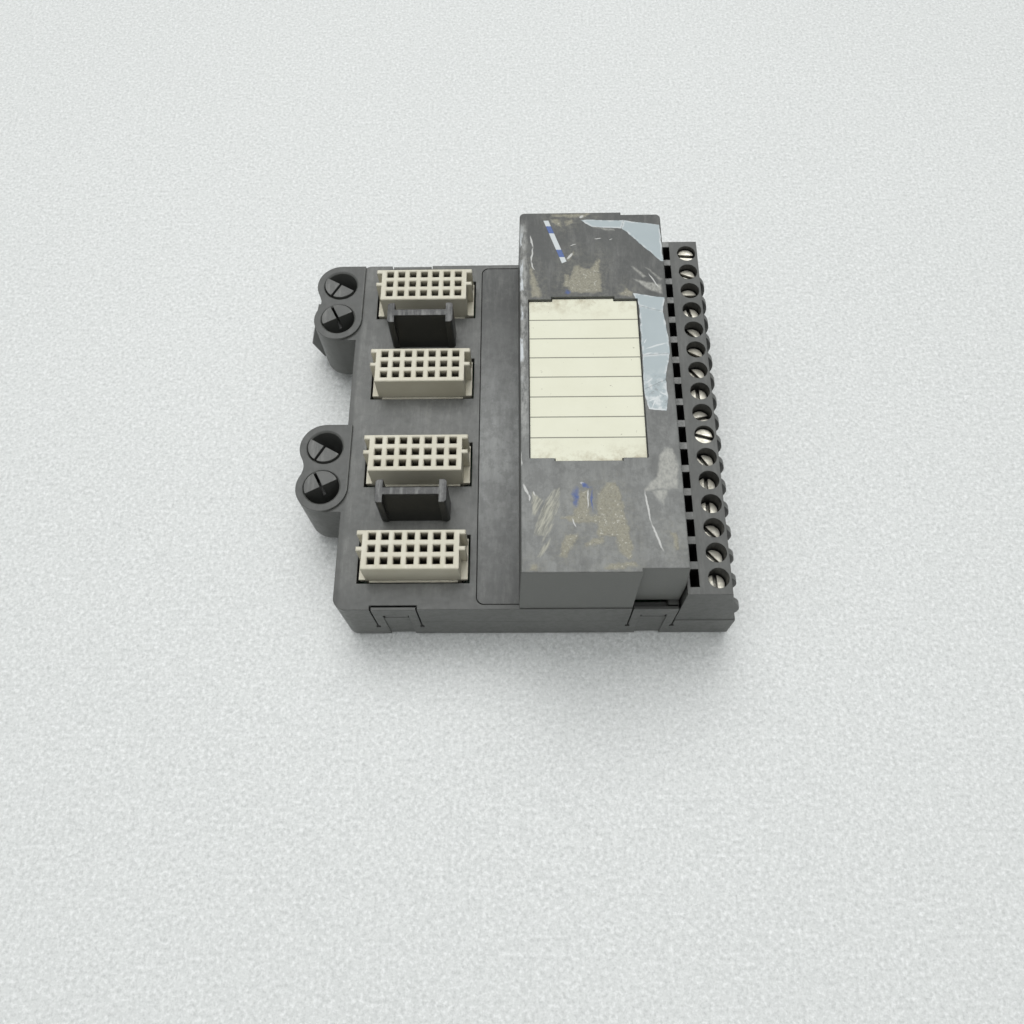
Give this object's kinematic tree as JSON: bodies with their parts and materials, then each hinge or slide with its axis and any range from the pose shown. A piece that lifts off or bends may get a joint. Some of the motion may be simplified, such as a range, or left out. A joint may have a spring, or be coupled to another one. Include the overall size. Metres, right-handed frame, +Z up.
{
  "type": "terminal block",
  "caption": "Flat two-slot terminal block with module sockets, coding-key towers, a raised field cover with a writing card and a row of screw terminals.",
  "frame": {"origin": "middle of the base's flat underside", "axes": "+X from the coding keys to the wire entries, +Y along the row of screws to the back, +Z up"},
  "size_m": [0.0931, 0.0836, 0.0355],
  "materials": {
    "case_grey": "fine moulded grain, dusty and scuffed",
    "cover_grey": "fine moulded grain, scratched",
    "strip_grey": "satin moulded",
    "card": "matte, ruled, stained",
    "socket_beige": "satin moulded",
    "key_grey": "satin moulded",
    "post_black": "matte moulded, dusty on top",
    "board": "satin lacquer",
    "brass": "plain",
    "screw_plating": "dull nickel plating",
    "clamp_plating": "dull nickel plating"
  },
  "bodies": {
    "case": {"base_tray": "case_grey", "top_housing": "case_grey", "field_cover": "cover_grey", "label_card": "card", "terminal_strip": "strip_grey", "circuit_board": "board", "terminal_cages": "brass", "socket_connector_1": "socket_beige", "socket_connector_2": "socket_beige", "socket_connector_3": "socket_beige", "socket_connector_4": "socket_beige", "socket_contacts_1": "brass", "socket_contacts_2": "brass", "socket_contacts_3": "brass", "socket_contacts_4": "brass", "guide_post_1": "post_black", "guide_post_2": "post_black"},
    "key_1": {"coding_key_1": "key_grey"},
    "key_2": {"coding_key_2": "key_grey"},
    "key_3": {"coding_key_3": "key_grey"},
    "key_4": {"coding_key_4": "key_grey"},
    "clamp_01": {"wire_clamp_01": "clamp_plating"},
    "screw_01": {"terminal_screw_01": "screw_plating"},
    "clamp_02": {"wire_clamp_02": "clamp_plating"},
    "screw_02": {"terminal_screw_02": "screw_plating"},
    "clamp_03": {"wire_clamp_03": "clamp_plating"},
    "screw_03": {"terminal_screw_03": "screw_plating"},
    "clamp_04": {"wire_clamp_04": "clamp_plating"},
    "screw_04": {"terminal_screw_04": "screw_plating"},
    "clamp_05": {"wire_clamp_05": "clamp_plating"},
    "screw_05": {"terminal_screw_05": "screw_plating"},
    "clamp_06": {"wire_clamp_06": "clamp_plating"},
    "screw_06": {"terminal_screw_06": "screw_plating"},
    "clamp_07": {"wire_clamp_07": "clamp_plating"},
    "screw_07": {"terminal_screw_07": "screw_plating"},
    "clamp_08": {"wire_clamp_08": "clamp_plating"},
    "screw_08": {"terminal_screw_08": "screw_plating"},
    "clamp_09": {"wire_clamp_09": "clamp_plating"},
    "screw_09": {"terminal_screw_09": "screw_plating"},
    "clamp_10": {"wire_clamp_10": "clamp_plating"},
    "screw_10": {"terminal_screw_10": "screw_plating"},
    "clamp_11": {"wire_clamp_11": "clamp_plating"},
    "screw_11": {"terminal_screw_11": "screw_plating"},
    "clamp_12": {"wire_clamp_12": "clamp_plating"},
    "screw_12": {"terminal_screw_12": "screw_plating"},
    "clamp_13": {"wire_clamp_13": "clamp_plating"},
    "screw_13": {"terminal_screw_13": "screw_plating"},
    "clamp_14": {"wire_clamp_14": "clamp_plating"},
    "screw_14": {"terminal_screw_14": "screw_plating"},
    "clamp_15": {"wire_clamp_15": "clamp_plating"},
    "screw_15": {"terminal_screw_15": "screw_plating"},
    "clamp_16": {"wire_clamp_16": "clamp_plating"},
    "screw_16": {"terminal_screw_16": "screw_plating"}
  },
  "joints": [
    {"name": "key_1_turn", "type": "hinge", "parent": "case", "child": "key_1", "pos_m": [-0.0444, 0.03596, 0.013], "axis": [0, 0, 1], "continuous": true},
    {"name": "key_2_turn", "type": "hinge", "parent": "case", "child": "key_2", "pos_m": [-0.0444, 0.02667, 0.013], "axis": [0, 0, 1], "continuous": true},
    {"name": "key_3_turn", "type": "hinge", "parent": "case", "child": "key_3", "pos_m": [-0.0444, -0.00619, 0.013], "axis": [0, 0, 1], "continuous": true},
    {"name": "key_4_turn", "type": "hinge", "parent": "case", "child": "key_4", "pos_m": [-0.0444, -0.01549, 0.013], "axis": [0, 0, 1], "continuous": true},
    {"name": "clamp_01_slide", "type": "slide", "parent": "case", "child": "clamp_01", "axis": [0, 0, 1], "range_m": [-0.0014, 0.0028]},
    {"name": "screw_01_turn", "type": "hinge", "parent": "clamp_01", "child": "screw_01", "pos_m": [0.0339, -0.03839, 0.02], "axis": [0, 0, 1], "range_deg": [-1008.1, 2016.1]},
    {"name": "clamp_02_slide", "type": "slide", "parent": "case", "child": "clamp_02", "axis": [0, 0, 1], "range_m": [-0.0015, 0.0027]},
    {"name": "screw_02_turn", "type": "hinge", "parent": "clamp_02", "child": "screw_02", "pos_m": [0.0339, -0.03331, 0.02], "axis": [0, 0, 1], "range_deg": [-1080.1, 1944.1]},
    {"name": "clamp_03_slide", "type": "slide", "parent": "case", "child": "clamp_03", "axis": [0, 0, 1], "range_m": [-0.0016, 0.0026]},
    {"name": "screw_03_turn", "type": "hinge", "parent": "clamp_03", "child": "screw_03", "pos_m": [0.0339, -0.02823, 0.02], "axis": [0, 0, 1], "range_deg": [-1152.1, 1872.1]},
    {"name": "clamp_04_slide", "type": "slide", "parent": "case", "child": "clamp_04", "axis": [0, 0, 1], "range_m": [-0.0015, 0.0027]},
    {"name": "screw_04_turn", "type": "hinge", "parent": "clamp_04", "child": "screw_04", "pos_m": [0.0339, -0.02314, 0.02], "axis": [0, 0, 1], "range_deg": [-1080.1, 1944.1]},
    {"name": "clamp_05_slide", "type": "slide", "parent": "case", "child": "clamp_05", "axis": [0, 0, 1], "range_m": [-0.0018, 0.0024]},
    {"name": "screw_05_turn", "type": "hinge", "parent": "clamp_05", "child": "screw_05", "pos_m": [0.0339, -0.01807, 0.02], "axis": [0, 0, 1], "range_deg": [-1296.1, 1728.1]},
    {"name": "clamp_06_slide", "type": "slide", "parent": "case", "child": "clamp_06", "axis": [0, 0, 1], "range_m": [-0.0021, 0.0021]},
    {"name": "screw_06_turn", "type": "hinge", "parent": "clamp_06", "child": "screw_06", "pos_m": [0.0339, -0.01299, 0.02], "axis": [0, 0, 1], "range_deg": [-1512.1, 1512.1]},
    {"name": "clamp_07_slide", "type": "slide", "parent": "case", "child": "clamp_07", "axis": [0, 0, 1], "range_m": [-0.0037, 0.0005]},
    {"name": "screw_07_turn", "type": "hinge", "parent": "clamp_07", "child": "screw_07", "pos_m": [0.0339, -0.00791, 0.02], "axis": [0, 0, 1], "range_deg": [-2664.1, 360.1]},
    {"name": "clamp_08_slide", "type": "slide", "parent": "case", "child": "clamp_08", "axis": [0, 0, 1], "range_m": [-0.0021, 0.0021]},
    {"name": "screw_08_turn", "type": "hinge", "parent": "clamp_08", "child": "screw_08", "pos_m": [0.0339, -0.00282, 0.02], "axis": [0, 0, 1], "range_deg": [-1512.1, 1512.1]},
    {"name": "clamp_09_slide", "type": "slide", "parent": "case", "child": "clamp_09", "axis": [0, 0, 1], "range_m": [-0.0024, 0.0018]},
    {"name": "screw_09_turn", "type": "hinge", "parent": "clamp_09", "child": "screw_09", "pos_m": [0.0339, 0.00226, 0.02], "axis": [0, 0, 1], "range_deg": [-1728.1, 1296.1]},
    {"name": "clamp_10_slide", "type": "slide", "parent": "case", "child": "clamp_10", "axis": [0, 0, 1], "range_m": [-0.0024, 0.0018]},
    {"name": "screw_10_turn", "type": "hinge", "parent": "clamp_10", "child": "screw_10", "pos_m": [0.0339, 0.00734, 0.02], "axis": [0, 0, 1], "range_deg": [-1728.1, 1296.1]},
    {"name": "clamp_11_slide", "type": "slide", "parent": "case", "child": "clamp_11", "axis": [0, 0, 1], "range_m": [-0.0025, 0.0017]},
    {"name": "screw_11_turn", "type": "hinge", "parent": "clamp_11", "child": "screw_11", "pos_m": [0.0339, 0.01242, 0.02], "axis": [0, 0, 1], "range_deg": [-1800.1, 1224.1]},
    {"name": "clamp_12_slide", "type": "slide", "parent": "case", "child": "clamp_12", "axis": [0, 0, 1], "range_m": [-0.0023, 0.0019]},
    {"name": "screw_12_turn", "type": "hinge", "parent": "clamp_12", "child": "screw_12", "pos_m": [0.0339, 0.0175, 0.02], "axis": [0, 0, 1], "range_deg": [-1656.1, 1368.1]},
    {"name": "clamp_13_slide", "type": "slide", "parent": "case", "child": "clamp_13", "axis": [0, 0, 1], "range_m": [-0.0026, 0.0016]},
    {"name": "screw_13_turn", "type": "hinge", "parent": "clamp_13", "child": "screw_13", "pos_m": [0.0339, 0.02258, 0.02], "axis": [0, 0, 1], "range_deg": [-1872.1, 1152.1]},
    {"name": "clamp_14_slide", "type": "slide", "parent": "case", "child": "clamp_14", "axis": [0, 0, 1], "range_m": [-0.0026, 0.0016]},
    {"name": "screw_14_turn", "type": "hinge", "parent": "clamp_14", "child": "screw_14", "pos_m": [0.0339, 0.02765, 0.02], "axis": [0, 0, 1], "range_deg": [-1872.1, 1152.1]},
    {"name": "clamp_15_slide", "type": "slide", "parent": "case", "child": "clamp_15", "axis": [0, 0, 1], "range_m": [-0.003, 0.0012]},
    {"name": "screw_15_turn", "type": "hinge", "parent": "clamp_15", "child": "screw_15", "pos_m": [0.0339, 0.03274, 0.02], "axis": [0, 0, 1], "range_deg": [-2160.1, 864.1]},
    {"name": "clamp_16_slide", "type": "slide", "parent": "case", "child": "clamp_16", "axis": [0, 0, 1], "range_m": [-0.0037, 0.0005]},
    {"name": "screw_16_turn", "type": "hinge", "parent": "clamp_16", "child": "screw_16", "pos_m": [0.0339, 0.03782, 0.02], "axis": [0, 0, 1], "range_deg": [-2664.1, 360.1]}
  ],
  "couplings": [
    {"joint": "screw_01_turn", "follows": "clamp_01_slide", "rad_per_m": 12566},
    {"joint": "screw_02_turn", "follows": "clamp_02_slide", "rad_per_m": 12566},
    {"joint": "screw_03_turn", "follows": "clamp_03_slide", "rad_per_m": 12566},
    {"joint": "screw_04_turn", "follows": "clamp_04_slide", "rad_per_m": 12566},
    {"joint": "screw_05_turn", "follows": "clamp_05_slide", "rad_per_m": 12566},
    {"joint": "screw_06_turn", "follows": "clamp_06_slide", "rad_per_m": 12566},
    {"joint": "screw_07_turn", "follows": "clamp_07_slide", "rad_per_m": 12566},
    {"joint": "screw_08_turn", "follows": "clamp_08_slide", "rad_per_m": 12566},
    {"joint": "screw_09_turn", "follows": "clamp_09_slide", "rad_per_m": 12566},
    {"joint": "screw_10_turn", "follows": "clamp_10_slide", "rad_per_m": 12566},
    {"joint": "screw_11_turn", "follows": "clamp_11_slide", "rad_per_m": 12566},
    {"joint": "screw_12_turn", "follows": "clamp_12_slide", "rad_per_m": 12566},
    {"joint": "screw_13_turn", "follows": "clamp_13_slide", "rad_per_m": 12566},
    {"joint": "screw_14_turn", "follows": "clamp_14_slide", "rad_per_m": 12566},
    {"joint": "screw_15_turn", "follows": "clamp_15_slide", "rad_per_m": 12566},
    {"joint": "screw_16_turn", "follows": "clamp_16_slide", "rad_per_m": 12566}
  ]
}
